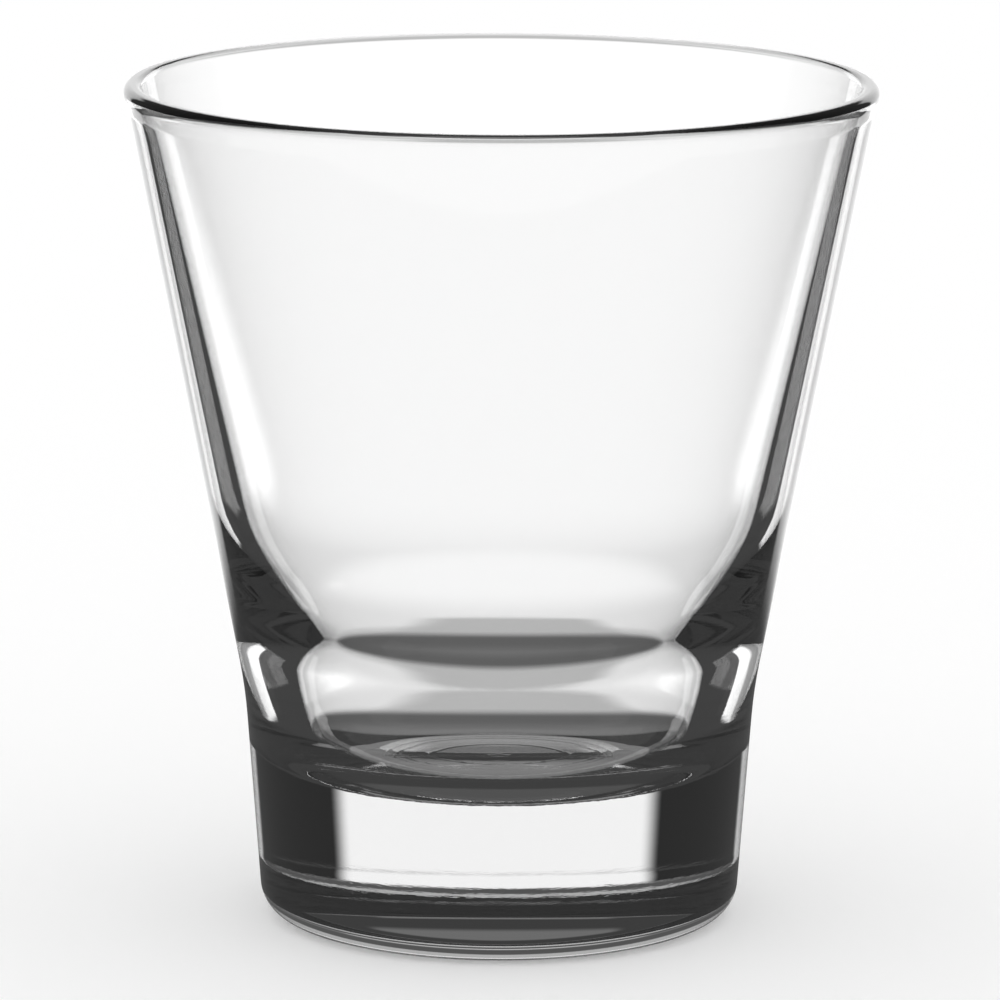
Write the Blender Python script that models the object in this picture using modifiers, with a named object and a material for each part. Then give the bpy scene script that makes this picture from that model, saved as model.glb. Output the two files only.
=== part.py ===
"""Conical tumbler, pressed in one piece of clear glass with a thick base.

The glass is one outline turned about +Z. The outline is a chain of corners joined by straight runs, and each
corner has its own rounding. Units are metres. The origin is on the axis, in the plane that the foot rests on.
"""

import math

import bpy

OBJECT_NAME = "conical_tumbler"
NODE_NAME = "tumbler"

# Outside of the glass
HEIGHT = 0.1011
RIM_RADIUS = 0.0450
WAIST_HEIGHT = 0.0278
WAIST_RADIUS = 0.0307
WAIST_ROUND = 0.060
FOOT_RADIUS = 0.0286
FOOT_ROUND = 0.0040

# Rim, a rounded lip on a bead that stands a little proud of the wall and meets it in a soft neck
LIP_THICKNESS = 0.0022
LIP_ROUND = 0.0010
BEAD_DEPTH = 0.0015
BEAD_ROUND = 0.0020
NECK_DEPTH = 0.0031
NECK_RADIUS = 0.0444
NECK_ROUND = 0.0025

# Inside of the bowl, a straight wall down to a shoulder, and a smaller cup below the shoulder
SHOULDER_HEIGHT = 0.0446
SHOULDER_RADIUS = 0.0298
SHOULDER_ROUND = 0.060
CUP_HEIGHT = 0.0361
CUP_RADIUS = 0.0257
CUP_ROUND = 0.0195
FLOOR_HEIGHT = 0.0179
FLOOR_RADIUS = 0.0222
FLOOR_ROUND = 0.0095

# Underside, a flat bearing ring round a shallow hollow
RING_INNER_RADIUS = 0.0191
HOLLOW_DEPTH = 0.0013

# Fineness of the turned surface
TURN_STEPS = 64
ARC_STEP = math.radians(9)
HOLLOW_STEPS = 6
RUN_SHARE = 0.98
MERGE_DISTANCE = 0.00001

# Clear soda-lime glass
GLASS_COLOUR = (0.97, 0.985, 0.98, 1.0)
GLASS_ROUGHNESS = 0.02
GLASS_IOR = 1.52


def clear_scene():
    """Remove every object that the file holds."""
    for item in list(bpy.data.objects):
        bpy.data.objects.remove(item)


def unit(start, end):
    """Return the unit vector from one point of the outline to another."""
    length = math.dist(start, end)
    return ((end[0] - start[0]) / length, (end[1] - start[1]) / length)


def turn_at(before, corner, after):
    """Return the angle that the outline turns through at a corner, positive to the left."""
    arriving = unit(before, corner)
    leaving = unit(corner, after)
    cross = arriving[0] * leaving[1] - arriving[1] * leaving[0]
    dot = arriving[0] * leaving[0] + arriving[1] * leaving[1]
    return math.atan2(cross, dot)


def rounded_corner(before, corner, after, reach):
    """Return the points of an arc that rounds a corner, starting and ending a reach away from it."""
    arriving = unit(before, corner)
    turn = turn_at(before, corner, after)
    side = math.copysign(1.0, turn)
    radius = reach / math.tan(abs(turn) / 2)
    start = (corner[0] - arriving[0] * reach, corner[1] - arriving[1] * reach)
    centre = (start[0] - side * arriving[1] * radius, start[1] + side * arriving[0] * radius)
    first_angle = math.atan2(start[1] - centre[1], start[0] - centre[0])
    pieces = max(2, math.ceil(abs(turn) / ARC_STEP))
    angles = [first_angle + turn * step / pieces for step in range(pieces + 1)]
    return [(centre[0] + radius * math.cos(a), centre[1] + radius * math.sin(a)) for a in angles]


def rounding_reaches(corners):
    """Return how far each corner's rounding reaches along its runs.

    Two roundings that would meet on a run are both made smaller, so that the run between them stays.
    """
    places = [corner[:2] for corner in corners]
    reaches = [0.0] * len(corners)
    for index in range(1, len(corners) - 1):
        turn = turn_at(places[index - 1], places[index], places[index + 1])
        reaches[index] = corners[index][2] * math.tan(abs(turn) / 2)
    shares = [1.0] * len(corners)
    for index in range(len(corners) - 1):
        room = RUN_SHARE * math.dist(places[index], places[index + 1])
        wanted = reaches[index] + reaches[index + 1]
        if wanted > room:
            shares[index] = min(shares[index], room / wanted)
            shares[index + 1] = min(shares[index + 1], room / wanted)
    return [reach * share for reach, share in zip(reaches, shares)]


def rounded_outline(corners):
    """Return the outline's points from its corners, given as (radius, height, rounding)."""
    places = [corner[:2] for corner in corners]
    reaches = rounding_reaches(corners)
    outline = [places[0]]
    for index in range(1, len(corners) - 1):
        if reaches[index] > 0:
            outline += rounded_corner(places[index - 1], places[index], places[index + 1], reaches[index])
        else:
            outline.append(places[index])
    outline.append(places[-1])
    return outline


def hollow_points():
    """Return the shallow dome under the base, from the bearing ring's inner edge to the axis."""
    dome_radius = (RING_INNER_RADIUS**2 + HOLLOW_DEPTH**2) / (2 * HOLLOW_DEPTH)
    half_angle = math.asin(RING_INNER_RADIUS / dome_radius)
    angles = [half_angle * (1 - step / HOLLOW_STEPS) for step in range(HOLLOW_STEPS + 1)]
    crown_drop = dome_radius - HOLLOW_DEPTH
    return [(dome_radius * math.sin(a), dome_radius * math.cos(a) - crown_drop) for a in angles]


def glass_outline():
    """Return the turned outline, up the inside of the bowl, over the rim and down the outside."""
    corners = [
        (0.0, FLOOR_HEIGHT, 0.0),
        (FLOOR_RADIUS, FLOOR_HEIGHT, FLOOR_ROUND),
        (CUP_RADIUS, CUP_HEIGHT, CUP_ROUND),
        (SHOULDER_RADIUS, SHOULDER_HEIGHT, SHOULDER_ROUND),
        (RIM_RADIUS - LIP_THICKNESS, HEIGHT, LIP_ROUND),
        (RIM_RADIUS, HEIGHT, LIP_ROUND),
        (RIM_RADIUS, HEIGHT - BEAD_DEPTH, BEAD_ROUND),
        (NECK_RADIUS, HEIGHT - NECK_DEPTH, NECK_ROUND),
        (WAIST_RADIUS, WAIST_HEIGHT, WAIST_ROUND),
        (FOOT_RADIUS, 0.0, FOOT_ROUND),
        (RING_INNER_RADIUS, 0.0, 0.0),
    ]
    return rounded_outline(corners) + hollow_points()[1:]


def glass_material():
    """Return the clear glass."""
    material = bpy.data.materials.new("clear_glass")
    material.use_nodes = True
    shader = material.node_tree.nodes["Principled BSDF"]
    shader.inputs["Base Color"].default_value = GLASS_COLOUR
    shader.inputs["Roughness"].default_value = GLASS_ROUGHNESS
    shader.inputs["Metallic"].default_value = 0.0
    shader.inputs["IOR"].default_value = GLASS_IOR
    shader.inputs["Transmission Weight"].default_value = 1.0
    return material


def turned(name, outline, collection):
    """Return an object that turns an outline in the XZ plane once round +Z."""
    mesh = bpy.data.meshes.new(name)
    points = [(radius, 0.0, height) for radius, height in outline]
    edges = [(index, index + 1) for index in range(len(points) - 1)]
    mesh.from_pydata(points, edges, [])
    body = bpy.data.objects.new(name, mesh)
    collection.objects.link(body)
    screw = body.modifiers.new("turn", "SCREW")
    screw.axis = "Z"
    screw.angle = math.tau
    screw.steps = TURN_STEPS
    screw.render_steps = TURN_STEPS
    screw.use_merge_vertices = True
    screw.merge_threshold = MERGE_DISTANCE
    screw.use_smooth_shade = True
    return body


def main():
    """Build the tumbler in its own collection."""
    clear_scene()
    collection = bpy.data.collections.new(OBJECT_NAME)
    bpy.context.scene.collection.children.link(collection)
    tumbler = turned(NODE_NAME, glass_outline(), collection)
    tumbler.data.materials.append(glass_material())


main()
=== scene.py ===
"""A short flared tumbler of clear pressed glass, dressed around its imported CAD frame.

The glass is one turned piece. Its look comes from what a camera sees through thick clear glass: a bright
panel behind it, dark cards beside and above that panel, and the shaded table top under its foot. Units are
metres.
"""

import logging
import math
from dataclasses import dataclass, field
from enum import Enum
from typing import Any, Optional, Union

import bmesh
import bpy
from mathutils import Matrix, Quaternion, Vector


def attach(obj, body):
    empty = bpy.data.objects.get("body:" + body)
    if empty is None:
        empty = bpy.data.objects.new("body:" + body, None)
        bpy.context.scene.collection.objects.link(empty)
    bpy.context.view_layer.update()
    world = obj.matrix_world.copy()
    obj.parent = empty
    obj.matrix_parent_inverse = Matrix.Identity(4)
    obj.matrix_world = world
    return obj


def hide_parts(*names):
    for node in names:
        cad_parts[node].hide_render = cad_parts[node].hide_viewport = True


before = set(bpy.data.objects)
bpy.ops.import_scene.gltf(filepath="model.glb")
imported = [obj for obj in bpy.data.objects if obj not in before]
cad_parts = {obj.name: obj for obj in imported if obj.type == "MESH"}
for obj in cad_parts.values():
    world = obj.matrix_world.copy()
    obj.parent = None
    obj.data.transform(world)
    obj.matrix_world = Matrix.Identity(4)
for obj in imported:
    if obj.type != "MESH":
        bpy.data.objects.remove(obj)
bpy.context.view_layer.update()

MM = 0.001
# Light is reflected many times between the walls of thick glass
LIGHT_BOUNCES = 20
# Reflections are counted in whole numbers, so a half tells one count from the next
HALF_COUNT = 0.5
AXIS_Y = (0.0, 1.0, 0.0)
AXIS_Z = (0.0, 0.0, 1.0)
WHITE = (1.0, 1.0, 1.0, 1.0)
FULL_BYTE = 255
# The sRGB curve, a straight toe up to a limit and a power above it
SRGB_LIMIT, SRGB_SLOPE, SRGB_OFFSET, SRGB_POWER = 0.04045, 12.92, 0.055, 2.4
# Directions in degrees, set past the true limit so that a card that reaches it has no soft edge there
CENTRE, ALL_ROUND, NADIR, ZENITH = -20.0, 200.0, -110.0, 110.0

LOG = logging.getLogger("tumbler")

Socket = bpy.types.NodeSocket
Value = Union[Socket, float, tuple]


class Zone(Enum):
    """The stretches of the turned outline that get their own spacing of points."""

    FLOOR = "floor of the bowl"
    WALL = "straight wall"
    BASE = "band of the base"
    HOLLOW = "hollow under the foot"


def linear(code: str) -> tuple[float, float, float, float]:
    """Turn an sRGB hex colour into a linear one.

    Args:
        code: six hex digits.

    Returns:
        Red, green, blue and an alpha of 1.
    """
    red, green, blue = (
        part / SRGB_SLOPE if part <= SRGB_LIMIT
        else ((part + SRGB_OFFSET) / (1.0 + SRGB_OFFSET)) ** SRGB_POWER
        for part in (byte / FULL_BYTE for byte in bytes.fromhex(code))
    )
    return (red, green, blue, 1.0)


def add_node(
    tree: bpy.types.NodeTree,
    kind: str,
    settings: Optional[dict[str, Any]] = None,
    inputs: Optional[dict[Union[int, str], Value]] = None,
) -> bpy.types.Node:
    """Add a node with its settings and links.

    Args:
        tree: the node tree that takes the node.
        kind: the node's type name.
        settings: attributes to set on the node.
        inputs: values, or sockets to link from, by input name or number.

    Returns:
        The new node.
    """
    node = tree.nodes.new(kind)
    for name, value in (settings or {}).items():
        setattr(node, name, value)
    for key, value in (inputs or {}).items():
        if isinstance(value, Socket):
            tree.links.new(value, node.inputs[key])
        else:
            node.inputs[key].default_value = value
    return node


class OutlinePen:
    """A pen that draws the wire of a turned outline in the XZ plane, one run or arc after another."""

    def __init__(self, start: tuple[float, float]) -> None:
        """Put the pen down at a radius and height."""
        self.mesh = bmesh.new()
        self.tip = self.mesh.verts.new((start[0], 0.0, start[1]))

    def place(self) -> tuple[float, float]:
        """Return the radius and height of the pen's tip."""
        return (self.tip.co.x, self.tip.co.z)

    def run_to(self, radius: float, height: float, steps: int = 1) -> None:
        """Draw a straight run.

        Args:
            radius: where the run ends, from the axis.
            height: where the run ends, above the table.
            steps: how many equal edges the run has.
        """
        step = (Vector((radius, 0.0, height)) - self.tip.co) / steps
        for _ in range(steps):
            made = bmesh.ops.extrude_vert_indiv(self.mesh, verts=[self.tip])
            self.tip = made["verts"][0]
            bmesh.ops.translate(self.mesh, verts=[self.tip], vec=step)

    def arc(self, centre: tuple[float, float], angle: float, steps: int) -> None:
        """Draw an arc by spinning the tip about a centre.

        Args:
            centre: the arc's centre, as a radius and height.
            angle: the angle to turn through in the XZ plane, positive from +X to +Z.
            steps: how many edges the arc has.
        """
        made = bmesh.ops.spin(
            self.mesh, geom=[self.tip], cent=(centre[0], 0.0, centre[1]), axis=AXIS_Y, dvec=(0.0, 0.0, 0.0),
            angle=-angle, space=Matrix.Identity(4), steps=steps, use_merge=False, use_normal_flip=False,
            use_duplicate=False,
        )
        self.tip = next(item for item in made["geom_last"] if isinstance(item, bmesh.types.BMVert))


@dataclass(frozen=True)
class PressedGlass:
    """Clear soda-lime glass, pressed in a turned iron mould and fire-polished.

    The eye sees no colour in it, sharp refraction, a slow ripple left by the plunger, and on the base the
    fine level streaks of the mould's turning marks.
    """

    name: str = "pressed_soda_lime_glass"
    tint: str = "ffffff"
    body_tint: str = "dadada"
    body_density: float = 9.0
    index: float = 1.52
    roughness: float = 0.0
    # slow ripple all over the glass
    ripple_size: float = 14.0 * MM
    ripple_depth: float = 0.003 * MM
    ripple_detail: float = 1.0
    ripple_roughness: float = 0.4
    # level streaks on the band of the base, between two heights and outside a radius
    streak_height: float = 0.4 * MM
    streak_length: float = 3.0 * MM
    streak_depth: float = 0.004 * MM
    streak_detail: float = 3.0
    streak_roughness: float = 0.6
    streak_top: float = 25.0 * MM
    streak_foot: float = 8.0 * MM
    streak_radius: float = 27.0 * MM
    streak_fade: float = 2.0 * MM
    streak_radius_fade: float = 1.0 * MM

    def rippled(self, tree: bpy.types.NodeTree, place: Socket) -> Socket:
        """Bend the surface by the plunger's slow ripple.

        Args:
            tree: the glass's node tree.
            place: the object coordinates.

        Returns:
            The surface's direction.
        """
        ripple = add_node(
            tree, "ShaderNodeTexNoise", {"noise_dimensions": "3D"},
            {"Vector": place, "Scale": 1.0 / self.ripple_size, "Detail": self.ripple_detail,
             "Roughness": self.ripple_roughness},
        )
        bump = add_node(
            tree, "ShaderNodeBump", None,
            {"Height": ripple.outputs["Fac"], "Strength": 1.0, "Distance": self.ripple_depth},
        )
        return bump.outputs["Normal"]

    def base_band(self, tree: bpy.types.NodeTree, place: Socket) -> Socket:
        """Mark the band of the base that carries the streaks.

        Args:
            tree: the glass's node tree.
            place: the object coordinates.

        Returns:
            1 on the band and 0 away from it, with soft edges.
        """
        parts = add_node(tree, "ShaderNodeSeparateXYZ", None, {"Vector": place})
        level = add_node(
            tree, "ShaderNodeCombineXYZ", None, {"X": parts.outputs["X"], "Y": parts.outputs["Y"]}
        )
        reach = add_node(tree, "ShaderNodeVectorMath", {"operation": "LENGTH"}, {0: level.outputs["Vector"]})
        height, radius = parts.outputs["Z"], reach.outputs["Value"]
        band: Value = 1.0
        for source, start, full in (
            (height, self.streak_top + self.streak_fade, self.streak_top),
            (height, self.streak_foot - self.streak_fade, self.streak_foot),
            (radius, self.streak_radius, self.streak_radius + self.streak_radius_fade),
        ):
            inside = add_node(
                tree, "ShaderNodeMapRange", {"interpolation_type": "SMOOTHSTEP"},
                {"Value": source, "From Min": start, "From Max": full, "To Min": 0.0, "To Max": 1.0},
            )
            both = add_node(
                tree, "ShaderNodeMath", {"operation": "MULTIPLY"}, {0: band, 1: inside.outputs["Result"]}
            )
            band = both.outputs[0]
        return band

    def streaked(self, tree: bpy.types.NodeTree, place: Socket, surface: Socket) -> Socket:
        """Bend the surface of the base by the mould's level streaks.

        Args:
            tree: the glass's node tree.
            place: the object coordinates.
            surface: the surface's direction without the streaks.

        Returns:
            The surface's direction.
        """
        stretch = add_node(
            tree, "ShaderNodeMapping", {"vector_type": "POINT"},
            {"Vector": place,
             "Scale": (1.0 / self.streak_length, 1.0 / self.streak_length, 1.0 / self.streak_height)},
        )
        streaks = add_node(
            tree, "ShaderNodeTexNoise", {"noise_dimensions": "3D"},
            {"Vector": stretch.outputs["Vector"], "Scale": 1.0, "Detail": self.streak_detail,
             "Roughness": self.streak_roughness},
        )
        bump = add_node(
            tree, "ShaderNodeBump", None,
            {"Height": streaks.outputs["Fac"], "Strength": self.base_band(tree, place),
             "Distance": self.streak_depth, "Normal": surface},
        )
        return bump.outputs["Normal"]

    def material(self) -> bpy.types.Material:
        """Return the glass as a node material."""
        material = bpy.data.materials.new(self.name)
        material.use_nodes = True
        tree = material.node_tree
        shader = tree.nodes["Principled BSDF"]
        shader.inputs["Base Color"].default_value = linear(self.tint)
        shader.inputs["Roughness"].default_value = self.roughness
        shader.inputs["IOR"].default_value = self.index
        shader.inputs["Transmission Weight"].default_value = 1.0
        depth = add_node(
            tree, "ShaderNodeVolumeAbsorption", None,
            {"Color": linear(self.body_tint), "Density": self.body_density},
        )
        tree.links.new(depth.outputs["Volume"], tree.nodes["Material Output"].inputs["Volume"])
        place = add_node(tree, "ShaderNodeTexCoord").outputs["Object"]
        surface = self.streaked(tree, place, self.rippled(tree, place))
        tree.links.new(surface, shader.inputs["Normal"])
        return material


@dataclass(frozen=True)
class Corner:
    """A corner of the turned outline, with its rounding and the zone of the run that ends there."""

    radius: float
    height: float
    rounding: float = 0.0
    zone: Optional[Zone] = None

    def towards(self, other: "Corner") -> Vector:
        """Return the unit vector from this corner to another."""
        return Vector((other.radius - self.radius, other.height - self.height)).normalized()


@dataclass
class Tumbler:
    """The whole glass: one outline, turned once round +Z."""

    name: str = "glass_tumbler"
    node: str = "tumbler"
    body: str = "root"
    slot: str = "clear_glass"
    # outside
    height: float = 101.1 * MM
    rim_radius: float = 45.0 * MM
    waist_height: float = 27.8 * MM
    waist_radius: float = 30.7 * MM
    waist_round: float = 60.0 * MM
    foot_radius: float = 28.6 * MM
    foot_round: float = 4.0 * MM
    # rim
    lip_thickness: float = 2.2 * MM
    lip_round: float = 1.0 * MM
    bead_depth: float = 1.5 * MM
    bead_round: float = 2.0 * MM
    neck_depth: float = 3.1 * MM
    neck_radius: float = 44.4 * MM
    neck_round: float = 2.5 * MM
    # inside
    shoulder_height: float = 44.6 * MM
    shoulder_radius: float = 29.8 * MM
    shoulder_round: float = 60.0 * MM
    cup_height: float = 36.1 * MM
    cup_radius: float = 25.7 * MM
    cup_round: float = 19.5 * MM
    floor_height: float = 17.9 * MM
    floor_radius: float = 22.2 * MM
    floor_round: float = 9.5 * MM
    # fine rings that the plunger's turned face left on the floor, from the axis outwards
    floor_rings: tuple[float, ...] = (1.2 * MM, 8.7 * MM, 12.6 * MM, 14.0 * MM)
    floor_ring_width: float = 0.5 * MM
    floor_ring_height: float = 0.03 * MM
    # underside
    ring_inner_radius: float = 19.1 * MM
    hollow_depth: float = 1.3 * MM
    # fineness of the turned surface, and the spacing of points along its straight stretches
    turn_steps: int = 256
    arc_step: float = math.radians(2.0)
    least_arc_steps: int = 2
    ring_flank_steps: int = 2
    merge_distance: float = 0.001 * MM
    spacing: dict[Zone, float] = field(
        default_factory=lambda: {
            Zone.FLOOR: 0.4 * MM,
            Zone.WALL: 2.0 * MM,
            Zone.BASE: 1.0 * MM,
            Zone.HOLLOW: 1.0 * MM,
        }
    )

    def corners(self) -> list[Corner]:
        """Return the outline's corners, from the bowl's floor to the inner edge of the bearing ring."""
        return [
            Corner(0.0, self.floor_height),
            Corner(self.floor_radius, self.floor_height, self.floor_round, Zone.FLOOR),
            Corner(self.cup_radius, self.cup_height, self.cup_round, Zone.WALL),
            Corner(self.shoulder_radius, self.shoulder_height, self.shoulder_round, Zone.WALL),
            Corner(self.rim_radius - self.lip_thickness, self.height, self.lip_round, Zone.WALL),
            Corner(self.rim_radius, self.height, self.lip_round),
            Corner(self.rim_radius, self.height - self.bead_depth, self.bead_round),
            Corner(self.neck_radius, self.height - self.neck_depth, self.neck_round),
            Corner(self.waist_radius, self.waist_height, self.waist_round, Zone.WALL),
            Corner(self.foot_radius, 0.0, self.foot_round, Zone.BASE),
            Corner(self.ring_inner_radius, 0.0),
        ]

    def draw_run(self, pen: OutlinePen, radius: float, height: float, zone: Optional[Zone]) -> None:
        """Draw one straight run with the spacing of its zone.

        Args:
            pen: the pen that draws the outline.
            radius: where the run ends, from the axis.
            height: where the run ends, above the table.
            zone: the stretch of the outline that the run belongs to.
        """
        length = math.dist(pen.place(), (radius, height))
        steps = 1 if zone is None else max(1, round(length / self.spacing[zone]))
        pen.run_to(radius, height, steps)

    def draw_floor_rings(self, pen: OutlinePen) -> None:
        """Draw the floor from the axis as far as the outermost of its fine rings."""
        half = self.floor_ring_width / 2
        for radius in self.floor_rings:
            self.draw_run(pen, radius - half, self.floor_height, Zone.FLOOR)
            pen.run_to(radius, self.floor_height + self.floor_ring_height, self.ring_flank_steps)
            pen.run_to(radius + half, self.floor_height, self.ring_flank_steps)

    def draw_corner(self, pen: OutlinePen, before: Corner, corner: Corner, after: Corner) -> None:
        """Draw the run up to a corner and the arc that rounds it.

        Args:
            pen: the pen that draws the outline.
            before: the corner before it.
            corner: the corner to round.
            after: the corner after it.
        """
        arriving = before.towards(corner)
        leaving = corner.towards(after)
        turn = math.atan2(arriving.cross(leaving), arriving.dot(leaving))
        reach = corner.rounding * math.tan(abs(turn) / 2)
        start = Vector((corner.radius, corner.height)) - arriving * reach
        self.draw_run(pen, start.x, start.y, corner.zone)
        if corner.rounding > 0.0:
            side = math.copysign(corner.rounding, turn)
            centre = (start.x - side * arriving.y, start.y + side * arriving.x)
            pen.arc(centre, turn, max(self.least_arc_steps, math.ceil(abs(turn) / self.arc_step)))

    def draw_hollow(self, pen: OutlinePen) -> None:
        """Draw the shallow dome under the base, from the bearing ring to the axis."""
        dome = (self.ring_inner_radius**2 + self.hollow_depth**2) / (2 * self.hollow_depth)
        half_angle = math.asin(self.ring_inner_radius / dome)
        steps = math.ceil(self.ring_inner_radius / self.spacing[Zone.HOLLOW])
        pen.arc((0.0, self.hollow_depth - dome), half_angle, steps)

    def outline(self) -> bmesh.types.BMesh:
        """Draw the outline up the inside, over the rim, down the outside and under the foot.

        Returns:
            The wire of the outline, with both its ends on the axis.
        """
        corners = self.corners()
        first, last = corners[0], corners[-1]
        pen = OutlinePen((first.radius, first.height))
        self.draw_floor_rings(pen)
        for before, corner, after in zip(corners, corners[1:], corners[2:]):
            self.draw_corner(pen, before, corner, after)
        self.draw_run(pen, last.radius, last.height, last.zone)
        self.draw_hollow(pen)
        pen.tip.co.x = 0.0
        return pen.mesh

    def build(self, finish: PressedGlass) -> bpy.types.Object:
        """Turn the outline into the glass, dress it and put it on its body.

        Args:
            finish: the glass that it is made of.

        Returns:
            The finished piece.
        """
        shell = self.outline()
        bmesh.ops.spin(
            shell, geom=list(shell.verts) + list(shell.edges), cent=(0.0, 0.0, 0.0), axis=AXIS_Z,
            dvec=(0.0, 0.0, 0.0), angle=math.tau, steps=self.turn_steps, use_merge=True,
            use_normal_flip=False, use_duplicate=False,
        )
        bmesh.ops.remove_doubles(shell, verts=shell.verts, dist=self.merge_distance)
        bmesh.ops.recalc_face_normals(shell, faces=shell.faces)
        for face in shell.faces:
            face.smooth = True
        mesh = bpy.data.meshes.new(self.name)
        shell.to_mesh(mesh)
        shell.free()
        piece = bpy.data.objects.new(self.name, mesh)
        bpy.context.scene.collection.objects.link(piece)
        mesh.materials.append(finish.material())
        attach(piece, self.body)
        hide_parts(self.node)
        return piece


class LightPath(Enum):
    """The ways in which light of the studio reaches the eye by the glass."""

    STRAIGHT = "straight through the glass"
    INSIDE = "reflected inside the glass"
    DEEP = "reflected many times inside the glass"
    MIRRORED = "reflected off the outside of the glass"


@dataclass(frozen=True)
class Card:
    """A card or panel of the studio, given by the directions that it fills as seen from the glass.

    The bearing is in degrees either side of the bright panel's middle, the tilt in degrees above level, and
    the soft edge in degrees either side of the card's limits.
    """

    name: str
    bearing: tuple[float, float]
    tilt: tuple[float, float]
    tone: float
    soft: float


@dataclass(frozen=True)
class Surround:
    """What one kind of light path sees of the studio: a tone all round and the cards laid over it."""

    tone: float
    cards: tuple[Card, ...] = ()


SURROUNDS = {
    LightPath.STRAIGHT: Surround(tone=1.12, cards=(
        # the table top as the glass sees it: slightly grey far off, and darker in painted shade where it
        # lies near the glass
        Card("far_table", (CENTRE, 33.0), (NADIR, -21.0), tone=0.92, soft=4.0),
        Card("near_table_shade", (CENTRE, 33.0), (-48.0, -33.0), tone=0.70, soft=3.0),
        Card("shadow", (CENTRE, 4.2), (-40.0, -25.2), tone=0.56, soft=1.6),
        Card("panel_sides", (13.0, 31.0), (-18.5, -12.0), tone=1.8, soft=2.5),
        Card("side_cards", (28.5, 72.0), (-13.0, 27.0), tone=0.022, soft=2.6),
        Card("top_card", (CENTRE, 72.0), (5.5, 28.0), tone=0.55, soft=1.5),
        Card("low_top_card", (CENTRE, 72.0), (5.5, 16.0), tone=0.10, soft=1.5),
        Card("ceiling", (CENTRE, 72.0), (33.0, ZENITH), tone=0.15, soft=2.0),
        Card("rear_cards", (112.0, 150.0), (-6.0, 27.0), tone=0.022, soft=2.0),
    )),
    LightPath.INSIDE: Surround(tone=0.05, cards=(
        Card("panel", (CENTRE, 22.0), (-26.0, 5.0), tone=1.5, soft=1.0),
        Card("panel_middle", (CENTRE, 7.0), (-26.0, 5.0), tone=0.60, soft=2.0),
        Card("panel_edge", (22.0, 29.5), (-26.0, 0.0), tone=0.06, soft=1.0),
        Card("glow", (CENTRE, 22.0), (20.0, 30.0), tone=0.18, soft=2.0),
        Card("overhead", (CENTRE, 90.0), (30.0, 50.0), tone=0.27, soft=3.0),
    )),
    LightPath.DEEP: Surround(tone=0.045),
    LightPath.MIRRORED: Surround(tone=0.11, cards=(
        Card("panel", (CENTRE, 29.5), (-30.0, 18.0), tone=1.5, soft=2.0),
        Card("front_light", (72.0, ALL_ROUND), (0.0, 50.0), tone=0.6, soft=4.0),
    )),
}


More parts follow.
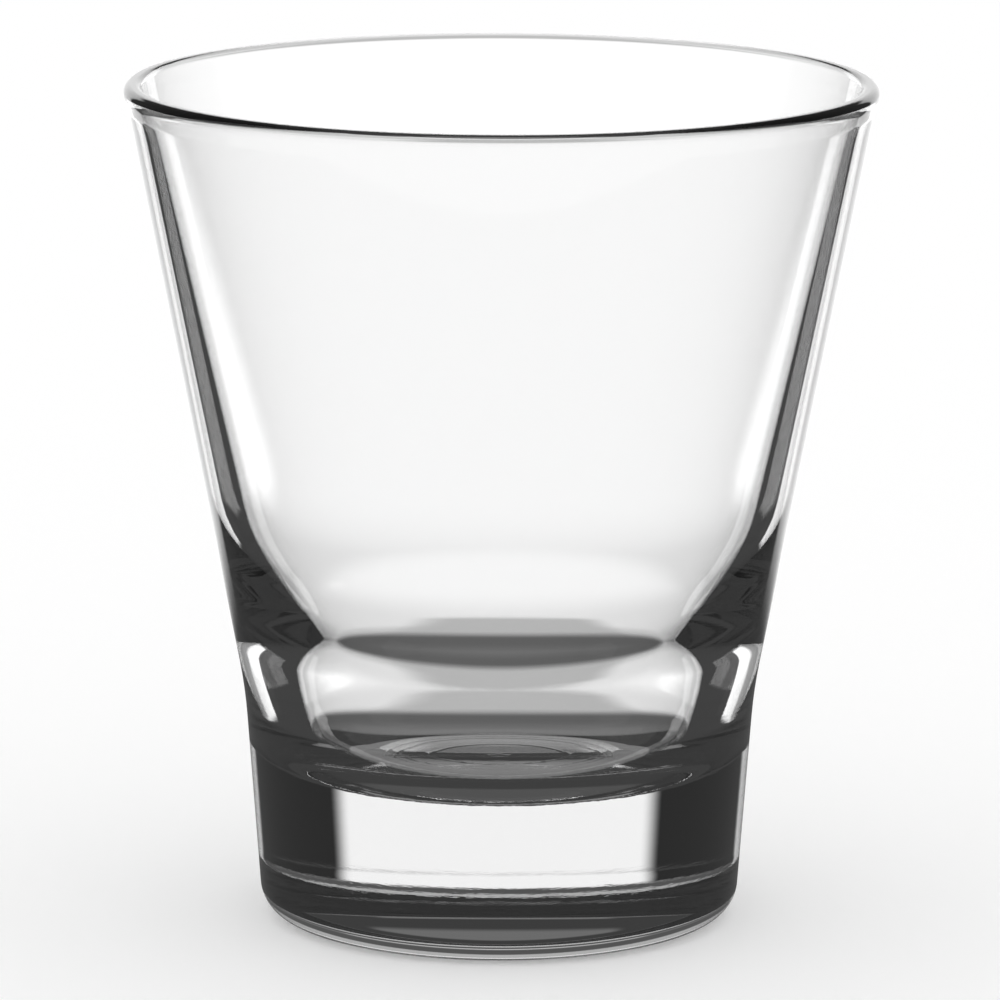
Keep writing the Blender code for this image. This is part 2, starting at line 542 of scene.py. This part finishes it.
@dataclass(frozen=True)
class Studio:
    """Soft white light from all round, with a bright panel behind the glass and dark cards beside it.

    Matt surfaces and the camera see it white. The glass sees the panel and the cards. Light that was
    reflected inside or off the glass sees a surround of its own, mostly dark with the panel and a few
    softer lights in it: painted shade set by the light path, not by one room.
    """

    name: str = "studio"
    panel_bearing: float = math.radians(0.8)
    clear_reflections: int = 3

    def direction(self, tree: bpy.types.NodeTree) -> tuple[Socket, Socket]:
        """Find the direction that light comes from.

        Args:
            tree: the world's node tree.

        Returns:
            The bearing to either side of the bright panel and the tilt above level, both in degrees.
        """
        coords = add_node(tree, "ShaderNodeTexCoord")
        way = add_node(tree, "ShaderNodeSeparateXYZ", None, {"Vector": coords.outputs["Generated"]})
        turn = add_node(
            tree, "ShaderNodeMath", {"operation": "ARCTAN2"}, {0: way.outputs["X"], 1: way.outputs["Y"]}
        )
        aside = add_node(
            tree, "ShaderNodeMath", {"operation": "SUBTRACT"}, {0: turn.outputs[0], 1: self.panel_bearing}
        )
        side = add_node(tree, "ShaderNodeMath", {"operation": "ABSOLUTE"}, {0: aside.outputs[0]})
        rise = add_node(tree, "ShaderNodeMath", {"operation": "ARCSINE"}, {0: way.outputs["Z"]})
        bearing = add_node(tree, "ShaderNodeMath", {"operation": "DEGREES"}, {0: side.outputs[0]})
        tilt = add_node(tree, "ShaderNodeMath", {"operation": "DEGREES"}, {0: rise.outputs[0]})
        return (bearing.outputs[0], tilt.outputs[0])

    def toned(self, tree: bpy.types.NodeTree, bearing: Socket, tilt: Socket, surround: Surround) -> Value:
        """Lay a surround's cards over its tone.

        Args:
            tree: the world's node tree.
            bearing: the bearing of the direction looked at, in degrees.
            tilt: the tilt of that direction, in degrees.
            surround: the tone and its cards, the last on top.

        Returns:
            The tone seen in that direction.
        """
        tone: Value = surround.tone
        for card in surround.cards:
            mask: Value = 1.0
            for source, (low, high) in ((bearing, card.bearing), (tilt, card.tilt)):
                for edge, soft in ((low, card.soft), (high, -card.soft)):
                    inside = add_node(
                        tree, "ShaderNodeMapRange", {"interpolation_type": "SMOOTHSTEP"},
                        {"Value": source, "From Min": edge - soft, "From Max": edge + soft,
                         "To Min": 0.0, "To Max": 1.0},
                    )
                    both = add_node(
                        tree, "ShaderNodeMath", {"operation": "MULTIPLY"},
                        {0: mask, 1: inside.outputs["Result"]},
                    )
                    mask = both.outputs[0]
            mixed = add_node(
                tree, "ShaderNodeMix", {"data_type": "FLOAT", "label": card.name},
                {"Factor": mask, "A": tone, "B": card.tone},
            )
            tone = mixed.outputs["Result"]
        return tone

    def seen_through(self, tree: bpy.types.NodeTree, count: Socket, tones: dict[LightPath, Value]) -> Socket:
        """Choose what light that came through the glass shows, by how often it was reflected inside.

        Args:
            tree: the world's node tree.
            count: the number of reflections.
            tones: the tone for each kind of light path.

        Returns:
            The chosen tone.
        """
        shown = tones[LightPath.STRAIGHT]
        for most, kind in ((0, LightPath.INSIDE), (self.clear_reflections, LightPath.DEEP)):
            more = add_node(
                tree, "ShaderNodeMath", {"operation": "GREATER_THAN"}, {0: count, 1: most + HALF_COUNT}
            )
            chosen = add_node(
                tree, "ShaderNodeMix", {"data_type": "FLOAT"},
                {"Factor": more.outputs[0], "A": shown, "B": tones[kind]},
            )
            shown = chosen.outputs["Result"]
        return shown

    def world(self) -> bpy.types.World:
        """Return the world: white to the camera and to matt surfaces, the cards to the glass."""
        world = bpy.data.worlds.new(self.name)
        world.use_nodes = True
        tree = world.node_tree
        tree.nodes.clear()
        bearing, tilt = self.direction(tree)
        path = add_node(tree, "ShaderNodeLightPath")
        tones = {kind: self.toned(tree, bearing, tilt, surround) for kind, surround in SURROUNDS.items()}
        matt = add_node(
            tree, "ShaderNodeMath", {"operation": "GREATER_THAN"},
            {0: path.outputs["Diffuse Depth"], 1: HALF_COUNT},
        )
        through = self.seen_through(tree, path.outputs["Glossy Depth"], tones)
        # a transmitted ray also counts as glossy, so the mirrored tone is laid first
        shown: Value = 1.0
        for factor, tone in (
            (path.outputs["Is Glossy Ray"], tones[LightPath.MIRRORED]),
            (path.outputs["Is Transmission Ray"], through),
            (matt.outputs[0], 1.0),
        ):
            mixed = add_node(
                tree, "ShaderNodeMix", {"data_type": "FLOAT"}, {"Factor": factor, "A": shown, "B": tone}
            )
            shown = mixed.outputs["Result"]
        light = add_node(tree, "ShaderNodeBackground", None, {"Color": WHITE, "Strength": shown})
        add_node(tree, "ShaderNodeOutputWorld", None, {"Surface": light.outputs["Background"]})
        return world


@dataclass(frozen=True)
class Shade:
    """A round shaded patch of the table top about the glass's axis, as one kind of light path meets it."""

    path: LightPath
    full_radius: float
    end_radius: float
    tone: float


@dataclass(frozen=True)
class TableTop:
    """A table top of white board, coated matt.

    The eye sees an even white that keeps the glass's soft shadow. Through the glass it sees the shaded patch
    under the foot, and past that patch the studio.
    """

    name: str = "table_top"
    board: str = "white_matt_board"
    colour: str = "f7f7f7"
    radius: float = 3.0
    gap: float = 0.05 * MM
    rim_steps: int = 96
    shades: tuple[Shade, ...] = (
        Shade(LightPath.STRAIGHT, full_radius=47.0 * MM, end_radius=55.5 * MM, tone=0.13),
        Shade(LightPath.STRAIGHT, full_radius=28.0 * MM, end_radius=44.0 * MM, tone=0.25),
        Shade(LightPath.INSIDE, full_radius=45.0 * MM, end_radius=60.0 * MM, tone=0.05),
        Shade(LightPath.INSIDE, full_radius=18.0 * MM, end_radius=20.0 * MM, tone=0.09),
        Shade(LightPath.MIRRORED, full_radius=130.0 * MM, end_radius=210.0 * MM, tone=0.12),
    )

    def seen_by_glass(self, tree: bpy.types.NodeTree, path: bpy.types.Node) -> Socket:
        """Lay the shaded patches over clear air.

        Args:
            tree: the table top's node tree.
            path: its Light Path node.

        Returns:
            The shader that light coming through or off the glass meets.
        """
        through = path.outputs["Is Transmission Ray"]
        bounced = add_node(
            tree, "ShaderNodeMath", {"operation": "GREATER_THAN"},
            {0: path.outputs["Glossy Depth"], 1: HALF_COUNT},
        ).outputs[0]
        unbounced, off = (
            add_node(tree, "ShaderNodeMath", {"operation": "SUBTRACT"}, {0: 1.0, 1: flag}).outputs[0]
            for flag in (bounced, through)
        )
        factors = {
            LightPath.STRAIGHT: (through, unbounced),
            LightPath.INSIDE: (through, bounced),
            LightPath.MIRRORED: (off, bounced),
        }
        place = add_node(tree, "ShaderNodeTexCoord").outputs["Object"]
        reach = add_node(tree, "ShaderNodeVectorMath", {"operation": "LENGTH"}, {0: place})
        shown = add_node(tree, "ShaderNodeBsdfTransparent").outputs[0]
        for shade in self.shades:
            mask = add_node(
                tree, "ShaderNodeMapRange", {"interpolation_type": "SMOOTHSTEP"},
                {"Value": reach.outputs["Value"], "From Min": shade.end_radius,
                 "From Max": shade.full_radius, "To Min": 0.0, "To Max": 1.0},
            ).outputs["Result"]
            for factor in factors[shade.path]:
                both = add_node(tree, "ShaderNodeMath", {"operation": "MULTIPLY"}, {0: mask, 1: factor})
                mask = both.outputs[0]
            patch = add_node(tree, "ShaderNodeEmission", None, {"Strength": shade.tone})
            mixed = add_node(tree, "ShaderNodeMixShader", None, {0: mask, 1: shown, 2: patch.outputs[0]})
            shown = mixed.outputs[0]
        return shown

    def material(self) -> bpy.types.Material:
        """Return the table top's material."""
        material = bpy.data.materials.new(self.board)
        material.use_nodes = True
        tree = material.node_tree
        tree.nodes.clear()
        colour = linear(self.colour)
        path = add_node(tree, "ShaderNodeLightPath")
        # the camera sees the lit board as full white
        lift = add_node(
            tree, "ShaderNodeMath", {"operation": "MULTIPLY"},
            {0: path.outputs["Is Camera Ray"], 1: 1.0 - colour[0]},
        )
        board = add_node(tree, "ShaderNodeBsdfDiffuse", None, {"Color": colour})
        white = add_node(tree, "ShaderNodeEmission", None, {"Strength": lift.outputs[0]})
        bright = add_node(tree, "ShaderNodeAddShader", None, {0: board.outputs[0], 1: white.outputs[0]})
        by_glass = add_node(
            tree, "ShaderNodeMath", {"operation": "MAXIMUM"},
            {0: path.outputs["Is Transmission Ray"], 1: path.outputs["Is Glossy Ray"]},
        )
        shown = add_node(
            tree, "ShaderNodeMixShader", None,
            {0: by_glass.outputs[0], 1: bright.outputs[0], 2: self.seen_by_glass(tree, path)},
        )
        add_node(tree, "ShaderNodeOutputMaterial", None, {"Surface": shown.outputs[0]})
        return material

    def build(self) -> bpy.types.Object:
        """Return the table top."""
        sheet = bmesh.new()
        bmesh.ops.create_circle(sheet, cap_ends=True, segments=self.rim_steps, radius=self.radius)
        bmesh.ops.translate(sheet, verts=sheet.verts, vec=(0.0, 0.0, -self.gap))
        mesh = bpy.data.meshes.new(self.name)
        sheet.to_mesh(mesh)
        sheet.free()
        mesh.materials.append(self.material())
        piece = bpy.data.objects.new(self.name, mesh)
        bpy.context.scene.collection.objects.link(piece)
        return piece


@dataclass(frozen=True)
class Viewpoint:
    """The camera, a long lens a little above the rim, looking down on the glass.

    The lens is given in pixels of a square frame of the stated width, the shift as a share of that frame,
    the sensor in millimetres and the roll in radians.
    """

    name: str = "viewpoint"
    distance: float = 0.8968
    height: float = 0.22543
    aim_height: float = 0.050
    focal_pixels: float = 7607.0
    frame_pixels: float = 1000.0
    sensor: float = 36.0
    roll: float = 0.0033
    shift: tuple[float, float] = (-0.0002, 0.0037)
    near_limit: float = 10.0 * MM

    def build(self) -> bpy.types.Object:
        """Return the camera, set as the scene's own."""
        lens = bpy.data.cameras.new(self.name)
        lens.sensor_width = self.sensor
        lens.lens = self.focal_pixels * self.sensor / self.frame_pixels
        lens.shift_x, lens.shift_y = self.shift
        lens.clip_start = self.near_limit
        camera = bpy.data.objects.new(self.name, lens)
        bpy.context.scene.collection.objects.link(camera)
        camera.location = (0.0, -self.distance, self.height)
        look = Vector((0.0, 0.0, self.aim_height)) - camera.location
        turn = look.to_track_quat("-Z", "Y") @ Quaternion(AXIS_Z, self.roll)
        camera.rotation_euler = turn.to_euler()
        bpy.context.scene.camera = camera
        return camera


def main() -> None:
    """Build the glass, the table top, the studio and the camera."""
    logging.basicConfig(level=logging.INFO, format="%(name)s: %(message)s")
    scene = bpy.context.scene
    scene.view_settings.view_transform = "Standard"
    scene.cycles.max_bounces = LIGHT_BOUNCES
    scene.cycles.glossy_bounces = LIGHT_BOUNCES
    scene.cycles.transmission_bounces = LIGHT_BOUNCES
    glass = Tumbler().build(PressedGlass())
    LOG.info("%s: %d faces", glass.name, len(glass.data.polygons))
    table = TableTop().build()
    LOG.info("%s: stage", table.name)
    scene.world = Studio().world()
    LOG.info("%s: %d surrounds", scene.world.name, len(SURROUNDS))
    camera = Viewpoint().build()
    LOG.info("%s: lens %.1f mm", camera.name, camera.data.lens)


if __name__ == "__main__":
    main()
